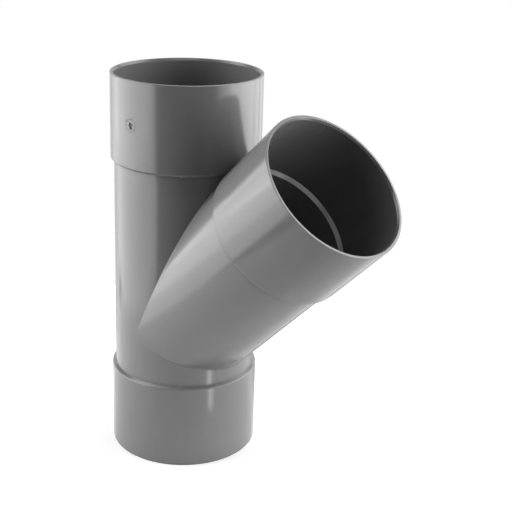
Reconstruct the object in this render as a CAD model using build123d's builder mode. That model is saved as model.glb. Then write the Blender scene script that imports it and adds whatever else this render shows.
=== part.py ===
from build123d import *
import math
import os

# Driving dimensions, in millimetres and degrees.

pipe_diameter = 110.0
socket_clearance = 0.4
socket_wall = 3.0
stop_height = 3.0
barrel_wall = 3.3
branch_angle = 45.0

run_socket_depth = 62.2
branch_socket_depth = 63.2
stop_slope = 2.4
shoulder_setback = 3.4
shoulder_rise = 1.8
crotch_clearance = 0.6
heel_clearance = 10.6

lead_in_width = 1.0
lead_in_depth = 1.8
rim_edge_chamfer = 0.4
shoulder_edge_radius = 1.0
outer_seam_radius = 2.0
inner_seam_radius = 2.0

# Radii that follow from them.

socket_bore_radius = (pipe_diameter + socket_clearance) / 2
socket_radius = socket_bore_radius + socket_wall
waterway_radius = socket_bore_radius - stop_height
barrel_radius = waterway_radius + barrel_wall

# The seams of equal tubes reach this far from the crossing of the axes. The shoulders stand
# just clear of them: above the crotch on the upper leg and the branch, below the heel on the
# lower leg.

crotch_reach = barrel_radius / math.tan(math.radians(branch_angle / 2))
heel_reach = barrel_radius * math.tan(math.radians(branch_angle / 2))
shoulder_length = shoulder_rise + shoulder_setback
upper_leg = crotch_reach + crotch_clearance + shoulder_length + run_socket_depth
branch_leg = crotch_reach + crotch_clearance + shoulder_length + branch_socket_depth
lower_leg = heel_reach + heel_clearance + shoulder_length + run_socket_depth


def leg_plane(angle):
    """Plane through both axes, its origin at their crossing and its y along the leg at this
    angle from the vertical."""
    return Plane.XZ.moved(Location((0, lower_leg, 0), (0, 0, -angle)))


# Each leg of the wye: its plane, its length from the crossing to the mouth, its socket's depth.
legs = [
    (leg_plane(180), lower_leg, run_socket_depth),
    (leg_plane(0), upper_leg, run_socket_depth),
    (leg_plane(branch_angle), branch_leg, branch_socket_depth),
]


def leg_axis(plane):
    """Axis of a leg, from the crossing outwards."""
    return Axis(plane.origin, plane.y_dir)


def across(plane):
    """Plane square to a leg, at the crossing."""
    return Plane(origin=plane.origin, x_dir=plane.x_dir, z_dir=plane.y_dir)


def socket_outline(plane, length, depth):
    """Half section of a socket's outside, from its sloped shoulder on the barrel to the rim."""
    shoulder_top = length - depth - shoulder_setback
    shoulder_foot = shoulder_top - shoulder_rise
    with BuildSketch(plane) as outline:
        with BuildLine():
            Polyline(
                (0, shoulder_foot),
                (barrel_radius, shoulder_foot),
                (socket_radius, shoulder_top),
                (socket_radius, length),
                (0, length),
                close=True,
            )
        make_face()
        shoulder_corner, rim_corner = outline.vertices().group_by(Axis.X)[-1].sort_by(Axis.Y)
        fillet(shoulder_corner, radius=shoulder_edge_radius)
        chamfer(rim_corner, length=rim_edge_chamfer)
    return outline.sketch


def bore_outline(plane, length, depth):
    """Half section of a leg's inside: waterway, sloped pipe stop, socket bore and lead-in."""
    stop_top = length - depth
    with BuildSketch(plane) as outline:
        with BuildLine():
            Polyline(
                (0, 0),
                (waterway_radius, 0),
                (waterway_radius, stop_top - stop_slope),
                (socket_bore_radius, stop_top),
                (socket_bore_radius, length - lead_in_depth),
                (socket_bore_radius + lead_in_width, length),
                (0, length),
                close=True,
            )
        make_face()
    return outline.sketch


def seam_edges(part):
    """The half ellipses in which equal round tubes meet."""
    return part.edges().filter_by(GeomType.ELLIPSE)


# The fitting is one moulded body. It is joined while it is still solid, first its barrels and
# then its sockets, each with its seams rounded, and the bores are taken out last.
with BuildPart() as wye_body:
    for plane, length, depth in legs:
        with BuildSketch(across(plane)):
            Circle(barrel_radius)
        extrude(amount=length)
    fillet(seam_edges(wye_body), radius=outer_seam_radius)

    for plane, length, depth in legs:
        revolve(socket_outline(plane, length, depth), axis=leg_axis(plane))
    fillet(seam_edges(wye_body), radius=outer_seam_radius)

    for plane, length, depth in legs:
        revolve(bore_outline(plane, length, depth), axis=leg_axis(plane), mode=Mode.SUBTRACT)
    fillet(seam_edges(wye_body), radius=inner_seam_radius)

os.makedirs("parts", exist_ok=True)
wye_body.part.label = "wye_body"
export_step(wye_body.part, "parts/wye_body.step")
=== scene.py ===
"""Lateral wye pipe fitting: one grey plastic moulding that stands on its lower socket."""
import math
from collections import namedtuple

import bpy
import numpy as np
from mathutils import Matrix, Vector


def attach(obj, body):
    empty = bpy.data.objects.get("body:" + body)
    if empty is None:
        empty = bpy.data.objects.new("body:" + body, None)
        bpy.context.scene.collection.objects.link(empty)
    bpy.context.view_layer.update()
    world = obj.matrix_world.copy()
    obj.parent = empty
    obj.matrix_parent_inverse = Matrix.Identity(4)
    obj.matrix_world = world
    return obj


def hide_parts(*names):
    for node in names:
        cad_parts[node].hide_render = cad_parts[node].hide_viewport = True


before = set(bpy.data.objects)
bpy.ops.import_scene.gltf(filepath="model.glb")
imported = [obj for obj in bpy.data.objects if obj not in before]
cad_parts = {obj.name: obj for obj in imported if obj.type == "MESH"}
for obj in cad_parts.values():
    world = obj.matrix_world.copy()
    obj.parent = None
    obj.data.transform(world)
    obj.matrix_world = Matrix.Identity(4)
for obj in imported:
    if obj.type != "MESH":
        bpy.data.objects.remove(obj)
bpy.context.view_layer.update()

# Sizes of the moulding, in millimetres. The crossing of the two axes is the start of every leg.

MILLIMETRE = 0.001

# Radii of the tubes, and of the balls that round the seams between them.
SOCKET_BORE = 55.2
SOCKET = 58.2
WATERWAY = 52.2
BARREL = 55.5
CROTCH_SEAM = 1.0
HEEL_SEAM = 2.5
INNER_SEAM = 2.0

# How far along a leg the crotch and the heel of two equal tubes lie, in radii.
BRANCH_ANGLE = math.radians(45)
CROTCH = 1 / math.tan(BRANCH_ANGLE / 2)
HEEL = math.tan(BRANCH_ANGLE / 2)

RUN_DEPTH = 62.2
BRANCH_DEPTH = 63.2
STOP_SLOPE = 2.4
SHOULDER_SETBACK = 3.4
SHOULDER_RISE = 1.8
LEAD_IN_WIDTH = 1.0
LEAD_IN_DEPTH = 1.8

# Each shoulder's foot stands clear of the seams' end.
CROTCH_CLEARANCE = 0.6
HEEL_CLEARANCE = 10.6
UPPER_FOOT = BARREL * CROTCH + CROTCH_CLEARANCE
LOWER_FOOT = BARREL * HEEL + HEEL_CLEARANCE
SHOULDER = SHOULDER_RISE + SHOULDER_SETBACK
CROSSING = np.array([0.0, 0.0, LOWER_FOOT + SHOULDER + RUN_DEPTH])

# Roundings of the half section's corners.
FOOT_ROUND = 0.3
SHOULDER_ROUND = 1.0
RIM_ROUND = 0.4
LEAD_IN_ROUND = 0.3
STOP_ROUND = 0.35
ARC_STEP = 0.3

# The seam's ball shrinks to this radius at the shoulders, over this length before them.
SHOULDER_SEAM = 0.4
SEAM_EASE = 14.0

# Painted shade in the corners: how far it reaches from a shoulder's foot, and how much it darkens.
PAINTED_SHADE_REACH = 1.1
UPPER_PAINTED_SHADE = 0.25
LOWER_PAINTED_SHADE = 0.3
BRANCH_PAINTED_SHADE = 0.5
CREASE_PAINTED_SHADE = 0.18

# Columns of a quarter of a leg and of each seam, and rows along the seams and the eased stretch.
COLUMNS = 32
CROTCH_COLUMNS = 8
HEEL_COLUMNS = 4
OUTER_CROTCH_ROWS = 24
INNER_CROTCH_ROWS = 35
OUTER_HEEL_ROWS = 29
INNER_HEEL_ROWS = 25
EASED_ROWS = 11

# Rows closer than the first are merged, and the second is how far a row may miss its place.
CLOSE_ROWS = 0.3
SLACK = 1e-6

# Rows past the rim's top that still have the finish of the outside.
RIM_ROWS = 2

# The dial: how high its middle is above the floor, and the square window of the upper socket
# that it fills, by the angle of a column and how many of them lie to each side of its middle.
DIAL_HEIGHT = 270.0
DIAL_CELL = 90 / COLUMNS
DIAL_CELLS = 3

PLASTIC_GREY = (0.185, 0.185, 0.185, 1)
# The bore's grey is a little darker than the outside's: painted shade inside the tubes.
BORE_SHADED_GREY = (0.168, 0.168, 0.168, 1)
# The colour that painted shade in the corners and in the sunk marks darkens towards.
PAINTED_SHADE_COLOUR = (0.02, 0.02, 0.02, 1)

X, Y, Z = np.eye(3)
BRANCH_WAY = (X + Z) / math.sqrt(2)
BRANCH_TOP = (Z - X) / math.sqrt(2)


# Half sections

# A leg: its half section as rows of (radius, distance), their outward normals, and the centres
# and radii of the ball that rounds the seam there, with radii less than nothing inside.
Leg = namedtuple("Leg", "rows normals centres ball")


def section(corners, roundings, between):
    """Half section of a leg as rows of (radius, distance) with their outward normals. Each
    straight run has rows at the given shares of its length, and each inner corner is the arc
    of its rounding that touches both runs: centre = corner - s r (n1 + n2) / (1 + n1.n2),
    row = centre + s r n, with n turned evenly from n1 to n2 and s = 1 where it is convex."""
    corners = np.array(corners)
    runs = np.diff(corners, axis=0)
    ways = runs / np.linalg.norm(runs, axis=1)[:, None]
    facing = np.stack([ways[:, 1], -ways[:, 0]], axis=1)
    rows, normals = [], []
    for k, shares in enumerate(between):
        shares = np.asarray(shares, float)
        rows.append(corners[k] + runs[k] * shares[:, None])
        normals.append(np.tile(facing[k], (len(shares), 1)))
        if k + 1 == len(runs):
            break
        n1, n2, radius = facing[k], facing[k + 1], roundings[k]
        turn = math.atan2(n1[0] * n2[1] - n1[1] * n2[0], n1 @ n2)
        angles = turn * np.linspace(0, 1, 2 + math.ceil(abs(turn) / ARC_STEP))
        n = np.stack([n1[0] * np.cos(angles) - n1[1] * np.sin(angles),
                      n1[0] * np.sin(angles) + n1[1] * np.cos(angles)], axis=1)
        side = math.copysign(radius, turn)
        centre = corners[k + 1] - side * (n1 + n2) / (1 + n1 @ n2)
        rows.append(centre + side * n)
        normals.append(n)
    return np.concatenate(rows), np.concatenate(normals)


def stations(reach, radius, least, count):
    """Distances along a leg at which the seam's ball stands at even angles round the leg:
    reach * radius * cos(angle), from 90 degrees, where the seam starts, to the least angle."""
    return reach * radius * np.cos(np.linspace(math.pi / 2, least, count))


def merged(chosen, others):
    """All the distances in rising order, without those of the others close to a chosen one."""
    chosen, others = np.round(chosen, 9), np.round(others, 9)
    apart = np.abs(others[:, None] - chosen).min(1) > CLOSE_ROWS
    return np.sort(np.concatenate([chosen, others[apart]]))


# The ball that rounds the seam is smaller where it goes over the shoulders. There it lies in the
# groove of a shoulder's foot when it touches the barrel and the cone at once, this far from
# the sharp corner on both.
CONE_RISE = SOCKET - BARREL
CONE = math.hypot(CONE_RISE, SHOULDER_RISE)
GROOVE = SHOULDER_SEAM * math.tan(math.atan2(CONE_RISE, SHOULDER_RISE) / 2)
EASE_START = UPPER_FOOT - SEAM_EASE
EASE_ANGLE = math.acos(EASE_START / (CROTCH * (BARREL + CROTCH_SEAM)))

OUTER_HEEL_END = HEEL * (BARREL + HEEL_SEAM)
INNER_HEEL_END = HEEL * (WATERWAY + INNER_SEAM)
OUTER_CROTCH_END = CROTCH * (SOCKET + CROTCH_SEAM)
INNER_CROTCH_END = CROTCH * (WATERWAY + INNER_SEAM)

# Distances of the rows along a leg: on the barrel, where they lie closer towards the shoulder,
# and in the waterway.
eased_angles = np.radians(np.linspace(12, 90, EASED_ROWS))
eased_rows = EASE_START + (SEAM_EASE - GROOVE) * np.sin(eased_angles)
outer_heel = stations(HEEL, BARREL + HEEL_SEAM, 0, OUTER_HEEL_ROWS)
inner_heel = stations(HEEL, WATERWAY + INNER_SEAM, 0, INNER_HEEL_ROWS)
outer_rows = merged(outer_heel, np.concatenate([
    stations(CROTCH, BARREL + CROTCH_SEAM, EASE_ANGLE, OUTER_CROTCH_ROWS), eased_rows]))
inner_rows = merged(inner_heel, stations(CROTCH, WATERWAY + INNER_SEAM, 0, INNER_CROTCH_ROWS))


def leg(foot, depth, outer, socket, inner,
        barrel_seam=CROTCH_SEAM, shoulder_seam=SHOULDER_SEAM):
    """A leg, with rows from the crossing outside, over the rim, to the crossing inside. outer,
    socket and inner are the distances of the rows on the barrel, on the socket and in the
    waterway. barrel_seam and shoulder_seam are the ball's radii on the barrel and at the
    shoulder. Each centre = row + ball radius normal, or, in the groove of the shoulder's
    foot, the place where the ball touches the barrel and the cone."""
    stop = foot + SHOULDER
    mouth = stop + depth
    top = foot + SHOULDER_RISE
    slope = stop - STOP_SLOPE
    corners = [(BARREL, 0), (BARREL, foot), (SOCKET, top), (SOCKET, mouth),
               (SOCKET_BORE + LEAD_IN_WIDTH, mouth), (SOCKET_BORE, mouth - LEAD_IN_DEPTH),
               (SOCKET_BORE, stop), (WATERWAY, slope), (WATERWAY, 0)]
    roundings = [FOOT_ROUND, SHOULDER_ROUND, RIM_ROUND, LEAD_IN_ROUND, LEAD_IN_ROUND,
                 STOP_ROUND, STOP_ROUND]
    groove = GROOVE * shoulder_seam / SHOULDER_SEAM

    # The shares of each straight run at which rows lie.
    between = [np.asarray(outer) / foot, [groove / CONE, 0.55],
               (np.asarray(socket) - top) / (mouth - top), [0.5], [0.5],
               np.linspace(0.08, 0.92, 8), [0.5],
               1 - np.asarray(inner)[::-1] / slope]
    rows, normals = section(corners, roundings, between)
    outside = np.arange(len(rows)) < np.argmax(rows[:, 1]) + 1
    eased = np.interp(rows[:, 1], [foot - SEAM_EASE, foot - 1, top + 1, top + SEAM_EASE / 2],
                      [barrel_seam, shoulder_seam, shoulder_seam, barrel_seam])
    ball = np.where(outside, eased, -INNER_SEAM)
    centres = rows + ball[:, None] * normals
    in_groove = outside & (rows[:, 1] > foot - groove - SLACK) & (
        np.hypot(rows[:, 0] - BARREL, rows[:, 1] - foot) < groove + SLACK)
    centres[in_groove] = BARREL + shoulder_seam, foot - groove
    return Leg(rows, normals, centres, ball)


RUN_MOUTH = UPPER_FOOT + SHOULDER + RUN_DEPTH
BRANCH_MOUTH = UPPER_FOOT + SHOULDER + BRANCH_DEPTH
LOWER_MOUTH = LOWER_FOOT + SHOULDER + RUN_DEPTH
DIAL_STEP = SOCKET * math.radians(DIAL_CELL)
socket_seam = CROTCH * (SOCKET + CROTCH_SEAM) * np.cos(np.radians([16, 14, 11.5, 9, 6, 3, 0]))
dial_rows = DIAL_HEIGHT - CROSSING[2] + DIAL_STEP * np.arange(-DIAL_CELLS, DIAL_CELLS + 1)

# The legs. Plain stretches have a few rows at chosen distances. The branch is worked out twice:
# with the crotch's seam, and with the heel's for its underside.
upper = leg(UPPER_FOOT, RUN_DEPTH, outer_rows,
            np.concatenate([socket_seam, [150, 155], dial_rows, [184, 192, RUN_MOUTH - 3]]),
            merged(inner_rows, [132, 135]))
branch_rows = (UPPER_FOOT, BRANCH_DEPTH, outer_rows,
               np.concatenate([socket_seam, [151, 158, 166, 175, 184, 193, BRANCH_MOUTH - 3]]),
               merged(inner_rows, [132, 135]))
branch = leg(*branch_rows)
branch_low = leg(*branch_rows, HEEL_SEAM, HEEL_SEAM)
lower = leg(LOWER_FOOT, RUN_DEPTH,
            merged(outer_rows[outer_rows < OUTER_HEEL_END + SLACK], [27, 30, 31.8, 32.8, 33.2]),
            [40, 50, 60, 70, 80, 90, LOWER_MOUTH - 3],
            merged(inner_rows[inner_rows < INNER_HEEL_END + SLACK], [26, 30, 34]),
            HEEL_SEAM, HEEL_SEAM)


# The skin of the wye


def opening(one, reach):
    """Angle from the seam's side at which each row of a leg meets the other leg. The seam's
    ball stands in the plane that halves the two, so cos(angle) = distance / (reach radius)."""
    share = one.centres[:, 1] / (reach * one.centres[:, 0])
    return np.where(share > 1 - 1e-7, 0, np.arccos(np.clip(share, 0, 1)))


def quarter(one, way, side, start):
    """A quarter of a leg's skin on the +Y side: crossing + distance way + radius (cos a side +
    sin a Y), with a spread evenly from each row's start to 90 degrees."""
    a = start[:, None] + (math.pi / 2 - start[:, None]) * np.linspace(0, 1, COLUMNS + 1)
    out = np.cos(a)[..., None] * side + np.sin(a)[..., None] * Y
    points = CROSSING + one.rows[:, 1, None, None] * way + one.rows[:, 0, None, None] * out
    facing = one.normals[:, 1, None, None] * way + one.normals[:, 0, None, None] * out
    return points, facing


def seam(one, way, side, start, first, second, columns):
    """Rounded seam between two quarters: each row is the arc round its ball from the first
    edge to the second, sin((1-w) t) e1 + sin(w t) e2 over sin t, for the angle t between."""
    out = np.cos(start)[:, None] * side + np.sin(start)[:, None] * Y
    centre = CROSSING + one.centres[:, 1, None] * way + one.centres[:, 0, None] * out
    e1, e2 = first[:, 0] - centre, second[:, 0] - centre
    length = np.linalg.norm(e1, axis=1)
    t = np.arccos(np.clip((e1 * e2).sum(1) / length**2, -1, 1)).clip(1e-6)[:, None, None]
    w = np.linspace(0, 1, columns + 1)[None, :, None]
    arc = (np.sin((1 - w) * t) * e1[:, None] + np.sin(w * t) * e2[:, None]) / np.sin(t)
    facing = -np.sign(one.ball)[:, None, None] * arc / length[:, None, None]
    return centre[:, None] + arc, facing


def grid_faces(shape, start):
    """Quads between neighbouring rows and columns of a grid whose first vertex is start."""
    index = start + np.arange(shape[0] * shape[1]).reshape(shape[:2])
    return np.stack([index[:-1, :-1], index[:-1, 1:], index[1:, 1:], index[1:, :-1]],
                    axis=-1).reshape(-1, 4)


crotch_start = opening(upper, CROTCH)
heel_start = opening(lower, HEEL)
branch_crotch = opening(branch, CROTCH)
branch_heel = opening(branch_low, HEEL)

patches = {
    "upper_front": quarter(upper, Z, X, crotch_start),
    "upper_back": quarter(upper, Z, -X, np.zeros(len(upper.rows))),
    "branch_crotch": quarter(branch, BRANCH_WAY, BRANCH_TOP, branch_crotch),
    "branch_heel": quarter(branch, BRANCH_WAY, -BRANCH_TOP, branch_heel),
    "lower_front": quarter(lower, -Z, X, heel_start),
    "lower_back": quarter(lower, -Z, -X, np.zeros(len(lower.rows))),
}


def seam_rows(one, end, inside):
    """Rows of a leg that a seam reaches, outside or inside, as far as its end."""
    turning = np.argmax(one.rows[:, 1])
    number = np.arange(len(one.rows))
    return np.flatnonzero((one.rows[:, 1] < end + SLACK) & ((number > turning) == inside))


for face, inside, crotch_end, heel_end in (
        ("outer", False, OUTER_CROTCH_END, OUTER_HEEL_END),
        ("inner", True, INNER_CROTCH_END, INNER_HEEL_END)):
    for kind, own, mate, way, start, own_patch, mate_patch, end, columns in (
            ("crotch", upper, branch, Z, crotch_start, "upper_front", "branch_crotch",
             crotch_end, CROTCH_COLUMNS),
            ("heel", lower, branch_low, -Z, heel_start, "lower_front", "branch_heel",
             heel_end, HEEL_COLUMNS)):
        own_rows, mate_rows = seam_rows(own, end, inside), seam_rows(mate, end, inside)
        patches[face + "_" + kind] = seam(
            Leg(*(part[own_rows] for part in own)), way, X, start[own_rows],
            patches[own_patch][0][own_rows], patches[mate_patch][0][mate_rows], columns)


# The date dial in the upper socket

# Each digit's strokes, as the ends x0, y0, x1, y1 in a cell 1 high.
DIGITS = {
    "0": [(0, .2, 0, .8), (0, .8, .2, 1), (.2, 1, .4, 1), (.4, 1, .6, .8), (.6, .8, .6, .2),
          (.6, .2, .4, 0), (.4, 0, .2, 0), (.2, 0, 0, .2)],
    "1": [(.35, 0, .35, 1), (.35, 1, .1, .75)],
    "2": [(0, .8, .15, 1), (.15, 1, .45, 1), (.45, 1, .6, .8), (.6, .8, .6, .6),
          (.6, .6, 0, 0), (0, 0, .6, 0)],
    "3": [(0, 1, .6, 1), (.6, 1, .25, .6), (.25, .6, .6, .4), (.6, .4, .6, .15),
          (.6, .15, .45, 0), (.45, 0, .1, 0), (.1, 0, 0, .15)],
    "4": [(.45, 0, .45, 1), (.45, 1, 0, .3), (0, .3, .65, .3)],
    "5": [(.6, 1, .05, 1), (.05, 1, 0, .55), (0, .55, .45, .6), (.45, .6, .6, .4),
          (.6, .4, .6, .15), (.6, .15, .45, 0), (.45, 0, 0, 0)],
    "6": [(.5, 1, .1, .6), (.1, .6, 0, .3), (0, .3, .15, 0), (.15, 0, .45, 0),
          (.45, 0, .6, .2), (.6, .2, .6, .4), (.6, .4, .45, .55), (.45, .55, .05, .45)],
    "7": [(0, 1, .6, 1), (.6, 1, .2, 0)],
    "8": [(.15, .55, 0, .75), (0, .75, .15, 1), (.15, 1, .45, 1), (.45, 1, .6, .75),
          (.6, .75, .45, .55), (.45, .55, .15, .55), (.15, .55, 0, .25), (0, .25, .15, 0),
          (.15, 0, .45, 0), (.45, 0, .6, .25), (.6, .25, .45, .55)],
    "9": [(.1, 0, .5, .4), (.5, .4, .6, .7), (.6, .7, .45, 1), (.45, 1, .15, 1),
          (.15, 1, 0, .8), (0, .8, 0, .6), (0, .6, .15, .45), (.15, .45, .55, .55)],
}
DIGIT_HEIGHT = 1.15
DIGIT_WIDTH = 0.6
DIGIT_PITCH = 0.92
DIGIT_STROKE = 0.22
NUMBER_RING = 4.65
MARK_DEPTH = 0.14
MARK_WALL = 0.08

# Each ring's radius, half width and depth, and the ends of the ticks.
RINGS = [(5.9, 0.12, 0.07), (3.3, 0.1, 0.06)]
RING_WALL = 0.1
TICK_ENDS = 5.45, 5.0
TICK_STROKE = 0.24

# The arrow, from the tip of its wedge to the tail of its shaft.
ARROW_TURN = math.radians(14)
ARROW_TIP = 2.9
ARROW_TAIL = -2.7
ARROW_DEPTH = 0.5
ARROW_WALL = 0.2
WEDGE_SLANT = 0.62, 0.75
WEDGE_BASE = -0.1
SHAFT_HALF = 1.16
SHAFT_SPREAD = 0.1
SHAFT_TOP = 0.3

SLOPE_STEP = 0.03

# Each ring of points between the window and the marks: how many times the window's points it
# has, and its radius. Then each band of rows: from and to which radius, and how many.
DIAL_RINGS = [(2, 7.15), (4, 6.75), (8, 6.45), (16, 6.25)]
DIAL_BANDS = [(6.25, 5.35, 10), (5.27, 3.95, 18), (3.8, 3.55, 2), (3.45, 3.15, 5), (3.0, 0, 22)]


def stroke(p, q, ends, width):
    """How far each point lies inside a round-ended stroke: width / 2 - distance to the line
    from (x0, y0) to (x1, y1), with the nearest point found by clipped projection."""
    x0, y0, x1, y1 = ends
    dx, dy = x1 - x0, y1 - y0
    share = np.clip(((p - x0) * dx + (q - y0) * dy) / (dx * dx + dy * dy), 0, 1)
    return width / 2 - np.hypot(p - x0 - share * dx, q - y0 - share * dy)


def cut(inside, depth, wall):
    """Depth of a sunk mark with sloped walls: it falls evenly over the wall's width."""
    return depth * np.clip(inside / wall, 0, 1)


def dial_depth(p, q):
    """Depth of the dial's marks at p to the right and q up from its middle: two rings, twelve
    ticks, the numbers 1 to 12 and an arrow, each a union of strokes with sloped walls. The
    arrow is a wedge on a shaft that widens a little towards its tail."""
    r = np.hypot(p, q)
    depth = np.max([cut(half - np.abs(r - ring), deep, RING_WALL)
                    for ring, half, deep in RINGS], axis=0)
    for number in range(1, 13):
        angle = math.radians(90 - 30 * number)
        c, s = math.cos(angle), math.sin(angle)
        along, up = p * s - q * c, p * c + q * s
        text = str(number)
        left = -(DIGIT_PITCH * (len(text) - 1) + DIGIT_WIDTH * DIGIT_HEIGHT) / 2
        for column, digit in enumerate(text):
            x = (along - left - DIGIT_PITCH * column) / DIGIT_HEIGHT
            y = (up - NUMBER_RING) / DIGIT_HEIGHT + 0.5
            for ends in DIGITS[digit]:
                drawn = stroke(x, y, ends, DIGIT_STROKE) * DIGIT_HEIGHT
                depth = np.maximum(depth, cut(drawn, MARK_DEPTH, MARK_WALL))
        mid = math.radians(105 - 30 * number)
        ends = np.array([end * way for end in TICK_ENDS for way in (math.cos(mid), math.sin(mid))])
        drawn = stroke(p, q, ends, TICK_STROKE)
        depth = np.maximum(depth, cut(drawn, MARK_DEPTH, MARK_WALL))
    c, s = math.cos(ARROW_TURN), math.sin(ARROW_TURN)
    x, y = p * c + q * s, q * c - p * s
    wedge = np.minimum((ARROW_TIP - y) * WEDGE_SLANT[0] - np.abs(x) * WEDGE_SLANT[1],
                       y - WEDGE_BASE)
    half_width = SHAFT_HALF - SHAFT_SPREAD * y
    shaft = np.minimum(half_width - np.abs(x), np.minimum(y - ARROW_TAIL, SHAFT_TOP - y))
    return np.maximum(depth, cut(np.maximum(wedge, shaft), ARROW_DEPTH, ARROW_WALL))


def dial_skin(p, q):
    """Points, normals and depths of the socket's wall at p round and q up from the dial's
    middle: radius = socket - depth, and the normal leans by the slopes of the depth, which
    are taken by small steps to both sides."""
    step = SLOPE_STEP
    depth = dial_depth(p, q)
    slope_p = (dial_depth(p + step, q) - dial_depth(p - step, q)) / (2 * step)
    slope_q = (dial_depth(p, q + step) - dial_depth(p, q - step)) / (2 * step)
    angle = p / SOCKET - math.pi / 2
    out = np.stack([np.cos(angle), np.sin(angle), 0 * angle], axis=-1)
    round_way = np.stack([-np.sin(angle), np.cos(angle), 0 * angle], axis=-1)
    points = (SOCKET - depth)[..., None] * out + (DIAL_HEIGHT + q)[..., None] * Z
    facing = out + slope_p[..., None] * round_way + slope_q[..., None] * Z
    return points, facing / np.linalg.norm(facing, axis=-1)[..., None], depth


def dial_grid():
    """The dial's skin: rings of 48, 96, 192 and 384 points between the square window in the
    socket and the rows of a polar grid, which end in its middle. The square is a triangle
    wave of both coordinates, a quarter apart and clipped. The rows lie closest where the
    marks are."""
    full = 8 * DIAL_CELLS
    t = np.arange(full)

    def wave(v):
        return np.abs(v % full - full / 2) - full / 4

    square = np.stack([np.clip(wave(t), -DIAL_CELLS, DIAL_CELLS),
                       np.clip(wave(t - full / 4), -DIAL_CELLS, DIAL_CELLS)], axis=1) * DIAL_STEP
    rings = [square]
    for times, radius in DIAL_RINGS:
        a = np.linspace(0, 2 * math.pi, full * times, endpoint=False)
        rings.append(radius * np.stack([np.cos(a), np.sin(a)], axis=1))
    faces, start = [], 0
    for coarse, fine in zip(rings, rings[1:]):
        i = np.arange(len(coarse))
        c0, c1 = start + i, start + (i + 1) % len(coarse)
        base = start + len(coarse)
        f0, f1, f2 = base + 2 * i, base + 2 * i + 1, base + (2 * i + 2) % len(fine)
        faces += [np.stack([c0, f1, f0], 1), np.stack([c0, c1, f1], 1), np.stack([c1, f2, f1], 1)]
        start = base
    triangles = np.concatenate(faces)
    radii = np.concatenate([np.linspace(*band) for band in DIAL_BANDS])
    a = np.linspace(0, 2 * math.pi, len(rings[-1]) + 1)
    polar = radii[:, None, None] * np.stack([np.cos(a), np.sin(a)], axis=-1)
    return np.concatenate(rings), triangles, polar


# One closed mesh of all the patches

# Points are welded on a raster with so many cells to the millimetre, moved by a share of one.
WELD_CELLS = 1e4
WELD_SHIFT = 0.137


def core_side(one):
    """1 for each row of a leg past its rim, in the bore, and 0 outside."""
    return (np.arange(len(one.rows)) > np.argmax(one.rows[:, 1]) + RIM_ROWS).astype(float)


def foot_grime(one, foot, most):
    """How much painted shade at a shoulder's foot darkens the plastic in each outer row of a leg:
    most at the foot, most exp(-distance / reach) along the barrel, and evenly to 0 up the cone."""
    along = one.rows[:, 1] - foot
    before = np.exp(np.minimum(along, 0) / PAINTED_SHADE_REACH)
    near = np.where(along < 0, before, 1 - along / SHOULDER_RISE)
    return most * near.clip(0) * (np.arange(len(along)) < np.argmax(along))


# Painted shade at the foot of each leg's shoulder.
crotch_foot = foot_grime(upper, UPPER_FOOT, UPPER_PAINTED_SHADE)
heel_foot = foot_grime(lower, LOWER_FOOT, LOWER_PAINTED_SHADE)
branch_foot = foot_grime(branch, UPPER_FOOT, BRANCH_PAINTED_SHADE)

# Whether each patch lies on the branch, and for each of its rows whether it lies in the bore and
# how much painted shade it has. The heel's seam has more painted shade along its crease.
PATCH_SIDES = {
    "upper_front": (0.0, core_side(upper), crotch_foot),
    "upper_back": (0.0, core_side(upper), crotch_foot),
    "branch_crotch": (1.0, core_side(branch), branch_foot),
    "branch_heel": (1.0, core_side(branch), branch_foot),
    "lower_front": (0.0, core_side(lower), heel_foot),
    "lower_back": (0.0, core_side(lower), heel_foot),
    "outer_crotch": (0.5, 0.0, crotch_foot[seam_rows(upper, OUTER_CROTCH_END, False)]),
    "outer_heel": (
        0.5, 0.0, heel_foot[seam_rows(lower, OUTER_HEEL_END, False)] + CREASE_PAINTED_SHADE),
    "inner_crotch": (0.5, 1.0, 0.0),
    "inner_heel": (0.5, 1.0, 0.0),
}

points, facings, marks, quads, triangles = [], [], [], [], []
total = 0
columns_open = COLUMNS - DIAL_CELLS
upper_radii, upper_heights = upper.rows.T
window_rows = np.flatnonzero(
    (upper_radii > SOCKET - SLACK) & (upper_heights > dial_rows[0] - SLACK)
    & (upper_heights < dial_rows[-1] + SLACK))
for name, (grid, facing) in patches.items():
    for side in (1, -1):
        faces = grid_faces(grid.shape, total)
        if side < 0 and name in ("upper_front", "upper_back"):
            row, column = np.divmod(np.arange(len(faces)), COLUMNS)
            in_rows = (row >= window_rows[0]) & (row < window_rows[-1])
            faces = faces[~(in_rows & (column >= columns_open))]
        quads.append(faces)
        points.append((grid * [1, side, 1]).reshape(-1, 3))
        facings.append((facing * [1, side, 1]).reshape(-1, 3))
        on_branch, in_bore, corner_shade = PATCH_SIDES[name]
        mark = np.zeros((*grid.shape[:2], 4))
        mark[..., 1] = on_branch
        mark[..., 2] = np.reshape(in_bore, (-1, 1))
        mark[..., 3] = np.reshape(corner_shade, (-1, 1))
        marks.append(mark.reshape(-1, 4))
        total += grid.shape[0] * grid.shape[1]

ring_places, ring_triangles, polar_places = dial_grid()
for places in (ring_places, polar_places):
    skin, facing, depth = dial_skin(places[..., 0], places[..., 1])
    if places is ring_places:
        triangles.append(ring_triangles + total)
    else:
        quads.append(grid_faces(polar_places.shape, total))
    points.append(skin.reshape(-1, 3))
    facings.append(facing.reshape(-1, 3))
    marks.append(depth.reshape(-1, 1) * [1, 0, 0, 0])
    total += skin.reshape(-1, 3).shape[0]

points, facings, marks = np.concatenate(points), np.concatenate(facings), np.concatenate(marks)
quads, triangles = np.concatenate(quads), np.concatenate(triangles)


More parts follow.
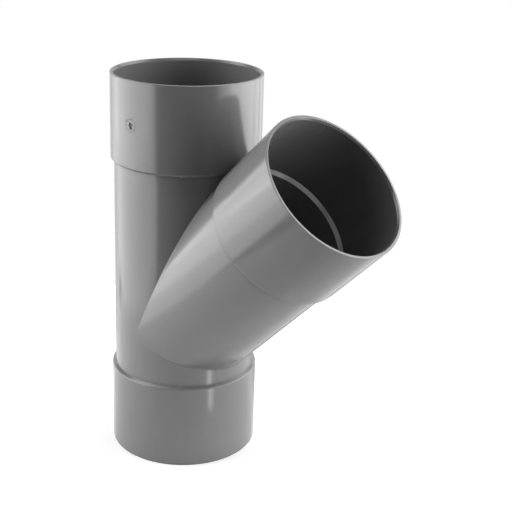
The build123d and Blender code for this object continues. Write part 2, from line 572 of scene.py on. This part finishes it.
def weld(points, *values):
    """Numbers of the distinct points, and the points and values with those that share a place
    averaged. Places count as the same within a cell of the raster, which is moved a little
    so that no plane of the wye lies on its lines."""
    key = np.floor(points * WELD_CELLS + WELD_SHIFT).astype(np.int64)
    index = np.unique(key, axis=0, return_inverse=True)[1].ravel()
    count = np.bincount(index)[:, None]
    sums = [np.stack([np.bincount(index, v) for v in np.atleast_2d(value.T)], axis=1) / count
            for value in (points, *values)]
    return index, sums


welded, (points, facings, marks) = weld(points, facings, marks)
facings /= np.linalg.norm(facings, axis=1)[:, None]
quads, triangles = welded[quads], welded[triangles]

# A quad with two corners in one place becomes a triangle. Such a triangle is left out.
for corner in range(4):
    same = quads[:, corner] == quads[:, (corner + 1) % 4]
    triangles = np.concatenate([triangles, np.delete(quads[same], corner, axis=1)])
    quads = quads[~same]
distinct = ((triangles[:, 0] != triangles[:, 1]) & (triangles[:, 1] != triangles[:, 2])
            & (triangles[:, 2] != triangles[:, 0]))
triangles = triangles[distinct]


def outward(faces):
    """The faces, with those turned round whose own normal points against their vertices'."""
    corners = points[faces]
    across = np.cross(corners[:, 2] - corners[:, 0], corners[:, -1] - corners[:, 1])
    if faces.shape[1] == 3:
        across = np.cross(corners[:, 1] - corners[:, 0], corners[:, 2] - corners[:, 0])
    against = (across * facings[faces].sum(1)).sum(1) < 0
    return np.where(against[:, None], faces[:, ::-1], faces)


quads, triangles = outward(quads), outward(triangles)

mesh = bpy.data.meshes.new("wye_shell")
mesh.vertices.add(len(points))
mesh.vertices.foreach_set("co", (points * MILLIMETRE).ravel())
loops = np.concatenate([quads.ravel(), triangles.ravel()])
mesh.loops.add(len(loops))
mesh.loops.foreach_set("vertex_index", loops.astype(np.int32))
starts = np.concatenate([4 * np.arange(len(quads)),
                         quads.size + 3 * np.arange(len(triangles))])
mesh.polygons.add(len(starts))
mesh.polygons.foreach_set("loop_start", starts.astype(np.int32))
mesh.update(calc_edges=True)
mesh.polygons.foreach_set("use_smooth", np.ones(len(starts), bool))
mesh.normals_split_custom_set_from_vertices(facings)

# What each point tells the plastic: the depth of the dial's marks, its share of the branch and
# of the bore, and how much painted shade it has.
for name, values in zip(("dial_mark", "on_branch", "in_bore", "painted_corner_shade"), marks.T):
    attribute = mesh.attributes.new(name, "FLOAT", "POINT")
    attribute.data.foreach_set("value", values.astype(np.float32))
bore_faces = np.concatenate([marks[quads, 2].mean(1), marks[triangles, 2].mean(1)]) > 0.5
mesh.polygons.foreach_set("material_index", bore_faces.astype(np.int32))
mesh.update()

wye_shell = bpy.data.objects.new("wye_shell", mesh)
bpy.context.scene.collection.objects.link(wye_shell)
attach(wye_shell, "root")
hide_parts("wye_body")


# Grey plastic

# Grains to the metre of each texture, the height of the bumps in millimetres, and the share of
# the colour that the clouds and the mottle change. Most of each noise lies in the plain range.
NOISE_RANGE = 0.3, 0.7
RIPPLE_GRAIN = 42
RIPPLE_HEIGHT = 0.045
PEEL_GRAIN = 520
PEEL_HEIGHT = 0.0011
CLOUD_GRAIN = 26
CLOUD_SHARE = 0.022
MOTTLE_GRAIN = 320
MOTTLE_SHARE = 0.012
HAZE_GRAIN = 60
LINE_GRAIN = 700
LINE_STRETCH = 0.03

# Painted shade adds this to the roughness, and marks deeper than this get painted shade.
PAINTED_SHADE_ROUGHNESS = 0.35
SHADED_MARK_DEPTH = 0.04
PLASTIC_IOR = 1.5


def node(tree, kind, inputs=(), **settings):
    """New node of a kind, with its settings, whose inputs are given as name and value or link."""
    made = tree.nodes.new(kind)
    for key, value in settings.items():
        setattr(made, key, value)
    for key, value in dict(inputs).items():
        if isinstance(value, bpy.types.NodeSocket):
            tree.links.new(value, made.inputs[key])
        else:
            made.inputs[key].default_value = value
    return made


def math_node(tree, operation, *values):
    """Result of a math node on two or three numbers or links."""
    return node(tree, "ShaderNodeMath", enumerate(values), operation=operation).outputs[0]


def noise(tree, place, scale, detail=2.0, roughness=0.5):
    """Noise from 0 to 1 whose grains are about 1 / scale metres."""
    return node(tree, "ShaderNodeTexNoise", {"Vector": place, "Scale": scale, "Detail": detail,
                                             "Roughness": roughness}).outputs["Fac"]


def spread(tree, value, low, high, to_low=0.0, to_high=1.0):
    """Value between low and high, spread evenly from to_low to to_high and clipped there."""
    return node(tree, "ShaderNodeMapRange", {
        "Value": value, "From Min": low, "From Max": high, "To Min": to_low,
        "To Max": to_high}).outputs["Result"]


def new_group(name, inputs, outputs):
    """Empty node group with named inputs and outputs and its two end nodes."""
    tree = bpy.data.node_groups.new(name, "ShaderNodeTree")
    for socket, kind in inputs:
        tree.interface.new_socket(socket, in_out="INPUT", socket_type=kind)
    for socket, kind in outputs:
        tree.interface.new_socket(socket, in_out="OUTPUT", socket_type=kind)
    return tree, tree.nodes.new("NodeGroupInput"), tree.nodes.new("NodeGroupOutput")


# Moulded skin: slow sink ripples and fine orange peel as a height in millimetres, faint flow
# clouds as a share of the colour, and handling haze from 0 to 1.
skin, skin_in, skin_out = new_group(
    "moulded_skin", [("Place", "NodeSocketVector")],
    [("Height", "NodeSocketFloat"), ("Cloud", "NodeSocketFloat"), ("Haze", "NodeSocketFloat")])
skin_place = skin_in.outputs["Place"]
ripple = math_node(skin, "MULTIPLY", noise(skin, skin_place, RIPPLE_GRAIN, 1), RIPPLE_HEIGHT)
peel = math_node(skin, "MULTIPLY", noise(skin, skin_place, PEEL_GRAIN, 1), PEEL_HEIGHT)
skin.links.new(math_node(skin, "ADD", ripple, peel), skin_out.inputs["Height"])
cloud = spread(skin, noise(skin, skin_place, CLOUD_GRAIN, 3), *NOISE_RANGE, -1, 1)
mottle = spread(skin, noise(skin, skin_place, MOTTLE_GRAIN, 2), *NOISE_RANGE, -1, 1)
mottled = math_node(skin, "MULTIPLY", mottle, MOTTLE_SHARE)
skin.links.new(math_node(skin, "MULTIPLY_ADD", cloud, CLOUD_SHARE, mottled),
               skin_out.inputs["Cloud"])
smudge = spread(skin, noise(skin, skin_place, HAZE_GRAIN, 4, 0.6), 0.45, 0.75)
skin.links.new(smudge, skin_out.inputs["Haze"])

# Draw lines: fine streaks along the way each core or half of the mould is pulled, taken from
# noise that is stretched along the run and, on the branch, along the branch.
lines, lines_in, lines_out = new_group(
    "draw_lines", [("Place", "NodeSocketVector"), ("Branch", "NodeSocketFloat")],
    [("Lines", "NodeSocketFloat")])
lines_place = lines_in.outputs["Place"]
along_run = node(lines, "ShaderNodeMapping", {
    "Vector": lines_place, "Scale": (1, 1, LINE_STRETCH)})
turned_place = node(lines, "ShaderNodeMapping", {
    "Vector": lines_place, "Rotation": (0, -BRANCH_ANGLE, 0)})
along_branch = node(lines, "ShaderNodeMapping", {
    "Vector": turned_place.outputs[0], "Scale": (1, 1, LINE_STRETCH)})
mixed = node(lines, "ShaderNodeMix", {
    0: lines_in.outputs["Branch"],
    2: noise(lines, along_run.outputs[0], LINE_GRAIN, 2),
    3: noise(lines, along_branch.outputs[0], LINE_GRAIN, 2)})
lines.links.new(spread(lines, mixed.outputs[0], 0.5, 0.8), lines_out.inputs["Lines"])


def grey_plastic(name, colour, roughness, hazed, streaked):
    """Glossy grey plastic, whose roughness rises by hazed and streaked at most with haze and
    draw lines. Painted shade in the corners and in the sunk marks darkens and dulls it, the
    more the deeper a mark is."""
    material = bpy.data.materials.new(name)
    material.use_nodes = True
    tree = material.node_tree
    shader = tree.nodes["Principled BSDF"]
    place = node(tree, "ShaderNodeTexCoord").outputs["Object"]
    branch_share = node(tree, "ShaderNodeAttribute", attribute_name="on_branch").outputs["Fac"]
    depth = node(tree, "ShaderNodeAttribute", attribute_name="dial_mark").outputs["Fac"]
    corner_shade = node(tree, "ShaderNodeAttribute", attribute_name="painted_corner_shade").outputs["Fac"]
    surface = node(tree, "ShaderNodeGroup", node_tree=skin)
    tree.links.new(place, surface.inputs["Place"])
    streaks = node(tree, "ShaderNodeGroup", node_tree=lines)
    tree.links.new(place, streaks.inputs["Place"])
    tree.links.new(branch_share, streaks.inputs["Branch"])
    cloudy = node(tree, "ShaderNodeMix", {
        "Factor": 1.0, "A": colour,
        "B": node(tree, "ShaderNodeCombineColor", {
            key: math_node(tree, "ADD", surface.outputs["Cloud"], 1.0)
            for key in ("Red", "Green", "Blue")}).outputs[0]},
        data_type="RGBA", blend_type="MULTIPLY")
    # Painted shade: that of the corners or that of the sunk marks, whichever is more.
    painted_shade = math_node(tree, "MAXIMUM", corner_shade, spread(tree, depth, SHADED_MARK_DEPTH, ARROW_DEPTH))
    shaded_colour = node(tree, "ShaderNodeMix", {0: painted_shade, 6: cloudy.outputs[2], 7: PAINTED_SHADE_COLOUR},
                 data_type="RGBA")
    tree.links.new(shaded_colour.outputs[2], shader.inputs["Base Color"])
    rough = math_node(tree, "MULTIPLY_ADD", surface.outputs["Haze"], hazed, roughness)
    rough = math_node(tree, "MULTIPLY_ADD", streaks.outputs["Lines"], streaked, rough)
    rough = math_node(tree, "MULTIPLY_ADD", painted_shade, PAINTED_SHADE_ROUGHNESS, rough)
    tree.links.new(rough, shader.inputs["Roughness"])
    bump = node(tree, "ShaderNodeBump", {
        "Strength": 1.0, "Distance": MILLIMETRE, "Height": surface.outputs["Height"]})
    tree.links.new(bump.outputs[0], shader.inputs["Normal"])
    shader.inputs["IOR"].default_value = PLASTIC_IOR
    return material


mesh.materials.append(grey_plastic(
    "grey_plastic_outside", PLASTIC_GREY, roughness=0.15, hazed=0.05, streaked=0.02))
# The bore is rougher, and its darker grey is painted shade.
mesh.materials.append(grey_plastic(
    "grey_plastic_bore_shaded", BORE_SHADED_GREY, roughness=0.2, hazed=0.06, streaked=0.06))


# Floor, light and camera

scene = bpy.context.scene
scene.view_settings.view_transform = "Standard"

# The room is square and turned to face the camera. From here on sizes are in metres.
ROOM_TURN = math.radians(44.3)
ROOM_RIGHT = Vector((math.cos(ROOM_TURN), math.sin(ROOM_TURN), 0))
ROOM_AWAY = Vector((-math.sin(ROOM_TURN), math.cos(ROOM_TURN), 0))
ROOM_UP = Vector((0, 0, 1))
ROOM_HALF = 1.1
ROOM_HEIGHT = 1.2
LAMP_STEP = 0.004

# The world's level for everything but the camera, which sees it white.
AMBIENT = 0.02

# The floor's size and levels. Seen in gloss, its level falls to the far one as the cosine of the
# angle off the fall's way goes from its start to its end.
FLOOR_RADIUS = 0.33
FLOOR_SIDES = 96
FLOOR_COLOUR = 0.88
FLOOR_LIFT = 0.32
GLOSS_LIFT = 0.22
FLOOR_FAR = 0.3
FALL_TURN = math.radians(10)
FALL_WAY = ROOM_AWAY * math.cos(FALL_TURN) + ROOM_RIGHT * math.sin(FALL_TURN)
FALL_START = 0.58
FALL_END = 0.82

world = bpy.data.worlds.new("studio")
scene.world = world
world.use_nodes = True
world.node_tree.nodes.clear()
white = node(world.node_tree, "ShaderNodeBackground", {"Color": (1, 1, 1, 1)})
dim = node(world.node_tree, "ShaderNodeBackground", {"Color": (AMBIENT, AMBIENT, AMBIENT, 1)})
sky = node(world.node_tree, "ShaderNodeMixShader", {
    "Fac": node(world.node_tree, "ShaderNodeLightPath").outputs["Is Camera Ray"],
    1: dim.outputs[0], 2: white.outputs[0]})
node(world.node_tree, "ShaderNodeOutputWorld", {"Surface": sky.outputs[0]})

# The floor is white paper. The camera sees it lifted towards white. In gloss it is lifted less,
# and it falls off towards one side of the back, as a sheet that ends there.
paper = bpy.data.materials.new("paper")
paper.use_nodes = True
paper.node_tree.nodes.clear()
ray = node(paper.node_tree, "ShaderNodeLightPath").outputs
spot = node(paper.node_tree, "ShaderNodeTexCoord").outputs["Object"]
spot_way = node(paper.node_tree, "ShaderNodeVectorMath", {0: spot}, operation="NORMALIZE")
away = node(paper.node_tree, "ShaderNodeVectorMath", {0: spot_way.outputs[0], 1: FALL_WAY},
            operation="DOT_PRODUCT")
fall = spread(paper.node_tree, away.outputs["Value"], FALL_START, FALL_END, 1.0, FLOOR_FAR)
colour = spread(paper.node_tree, ray["Is Glossy Ray"], 0, 1, FLOOR_COLOUR, fall)
gloss_lift = math_node(paper.node_tree, "MULTIPLY", fall, GLOSS_LIFT)
lift_level = spread(paper.node_tree, ray["Is Glossy Ray"], 0, 1, FLOOR_LIFT, gloss_lift)
lifted = math_node(paper.node_tree, "MAXIMUM", ray["Is Camera Ray"], ray["Is Glossy Ray"])
matt = node(paper.node_tree, "ShaderNodeBsdfDiffuse", {"Color": colour})
lift = node(paper.node_tree, "ShaderNodeEmission", {
    "Color": (1, 1, 1, 1),
    "Strength": math_node(paper.node_tree, "MULTIPLY", lift_level, lifted)})
both = node(paper.node_tree, "ShaderNodeAddShader", {0: matt.outputs[0], 1: lift.outputs[0]})
node(paper.node_tree, "ShaderNodeOutputMaterial", {"Surface": both.outputs[0]})

angles = np.linspace(0, 2 * math.pi, FLOOR_SIDES, endpoint=False)
floor_edge = FLOOR_RADIUS * np.stack([np.cos(angles), np.sin(angles), 0 * angles], axis=1)
floor_mesh = bpy.data.meshes.new("floor")
floor_mesh.from_pydata(floor_edge.tolist(), [], [list(range(FLOOR_SIDES))])
floor_mesh.materials.append(paper)
floor = bpy.data.objects.new("floor", floor_mesh)
scene.collection.objects.link(floor)

# The small strip stands low beside the fitting.
STRIP_AWAY = 0.145
STRIP_TURN = math.radians(-11.5)
STRIP_WAY = Vector((math.cos(STRIP_TURN), math.sin(STRIP_TURN), 0))

# Each wall: a point on it, its ways across and up, and its way out of the room. The strip has
# a small wall of its own.
WALLS = {
    "left": (-ROOM_HALF * ROOM_RIGHT, ROOM_AWAY, ROOM_UP, -ROOM_RIGHT),
    "right": (ROOM_HALF * ROOM_RIGHT, ROOM_AWAY, ROOM_UP, ROOM_RIGHT),
    "back": (ROOM_HALF * ROOM_AWAY, ROOM_RIGHT, ROOM_UP, ROOM_AWAY),
    "front": (-ROOM_HALF * ROOM_AWAY, ROOM_RIGHT, ROOM_UP, -ROOM_AWAY),
    "top": (ROOM_HEIGHT * ROOM_UP, ROOM_RIGHT, ROOM_AWAY, ROOM_UP),
    "strip": (STRIP_AWAY * STRIP_WAY, ROOM_UP.cross(STRIP_WAY), ROOM_UP, STRIP_WAY),
}

# Each lamp: its name and wall, where it begins and ends across and up the wall, its radiance.
# The soft lights light everything, and the sheen lights are only seen in the gloss.
SOFT_LIGHTS = [
    ("left_wide", "left", -1.06, 1.1, -0.41, 0.2, 2.6),
    ("left_side", "left", 0.5, 0.93, 0.2, 0.55, 3.3),
    ("left_low", "left", 0.42, 0.93, 0.1, 0.2, 1.5),
    ("left_high", "left", -0.9, 0.5, 0.2, 0.8, 0.9),
    ("left_core", "left", -0.4, 0.28, 0.2, 1.2, 4.25),
    ("left_edge", "left", 0.28, 0.5, 0.2, 1.2, 3.4),
    ("right_main", "right", -0.35, 0.5, -0.5, 1.2, 4.3),
    ("right_line", "right", -0.5, -0.35, -0.3, 0.6, 1.4),
    ("right_front", "right", -1.1, -0.35, 0.0, 1.2, 3.7),
    ("right_back", "right", 0.5, 1.1, -0.25, 1.2, 2.7),
    ("back_wall", "back", -1.1, 1.1, -0.5, 0.6, 0.9),
    ("back_left", "back", -1.1, -0.85, -0.5, 0.6, 0.9),
    ("back_right", "back", 0.65, 1.1, -0.5, 0.6, 0.8),
    ("top_back", "top", 0.0, 1.1, 0.55, 1.1, 2.3),
    ("top_left", "top", -1.1, -0.55, -0.4, 0.55, 4.0),
]
SHEEN_LIGHTS = [
    ("left_sheen", "left", -0.85, 0.4, -0.08, 0.25, 1.3),
    ("side_sheen", "left", 0.4, 0.95, -0.1, 0.1, 0.9),
    ("right_sheen", "right", -0.6, 0.2, 0.03, 0.4, 1.0),
    ("front_sheen", "front", 0.1, 1.1, 0.35, 1.2, 2.2),
    ("fore_sheen", "top", -0.3, 0.5, -1.1, -0.4, 1.5),
    ("top_sheen", "top", -0.55, 0.55, -0.4, 0.55, 1.5),
    ("corner_sheen", "top", 0.0, 1.1, 0.55, 1.1, 4.4),
]
STRIP_LIGHT = ("strip", "strip", -0.0085, 0.0085, 0.0, 0.042, 4.2)


def soft_light(name, wall, across_from, across_to, up_from, up_to, radiance, order=0):
    """Rectangular lamp on a wall, facing into the room and unseen by the camera. Its power is
    pi radiance area. Each order stands a little behind the last, so that lamps that overlap
    are both reflected."""
    start, across, up, outward_way = WALLS[wall]
    width, height = across_to - across_from, up_to - up_from
    data = bpy.data.lights.new(name, "AREA")
    data.shape = "RECTANGLE"
    data.size, data.size_y = width, height
    data.energy = radiance * math.pi * width * height
    lamp = bpy.data.objects.new(name, data)
    scene.collection.objects.link(lamp)
    middle = (start + across * (across_from + across_to) / 2 + up * (up_from + up_to) / 2
              + outward_way * LAMP_STEP * order)
    turned = Matrix((up.cross(outward_way), up, outward_way)).transposed()
    lamp.matrix_world = Matrix.Translation(middle) @ turned.to_4x4()
    lamp.visible_camera = False
    return lamp


for order, row in enumerate(SOFT_LIGHTS + SHEEN_LIGHTS):
    lamp = soft_light(*row, order)
    lamp.visible_diffuse = order < len(SOFT_LIGHTS)

# The strip draws the thin upright highlight on the lower socket.
strip = soft_light(*STRIP_LIGHT)
strip.visible_diffuse = False

# Camera, worked out from the photograph's perspective: its turns in radians, the place in the
# fitting that it is set out from and the way from there in its own frame, and the focal length
# and the middle of its view in pixels.
VIEW_TURN = 0.71654048
VIEW_RISE = 0.31586916
VIEW_ROLL = 0.02723883
VIEW_MIDDLE = Vector((0.025, 0, 0.14))
VIEW_OFFSET = Vector((-0.0280134, 0.0523059, 0.8466295))
PICTURE = 512
SENSOR = 36
FOCAL = 1077.7887
MIDDLE_X, MIDDLE_Y = 243.6086, 214.5747

back = Vector((math.sin(VIEW_TURN) * math.cos(VIEW_RISE),
               -math.cos(VIEW_TURN) * math.cos(VIEW_RISE), math.sin(VIEW_RISE)))
level = (-back).cross(ROOM_UP).normalized()
upright = level.cross(-back)
right = math.cos(VIEW_ROLL) * level + math.sin(VIEW_ROLL) * upright
up = math.cos(VIEW_ROLL) * upright - math.sin(VIEW_ROLL) * level
view = Matrix((right, up, back)).transposed()
camera_data = bpy.data.cameras.new("camera")
camera_data.sensor_width = SENSOR
camera_data.lens = FOCAL / PICTURE * SENSOR
camera_data.shift_x = (PICTURE / 2 - MIDDLE_X) / PICTURE
camera_data.shift_y = (MIDDLE_Y - PICTURE / 2) / PICTURE
camera_data.clip_end = 20
camera = bpy.data.objects.new("camera", camera_data)
scene.collection.objects.link(camera)
stand = VIEW_MIDDLE + view @ Vector((-VIEW_OFFSET.x, VIEW_OFFSET.y, VIEW_OFFSET.z))
camera.matrix_world = Matrix.Translation(stand) @ view.to_4x4()
scene.camera = camera
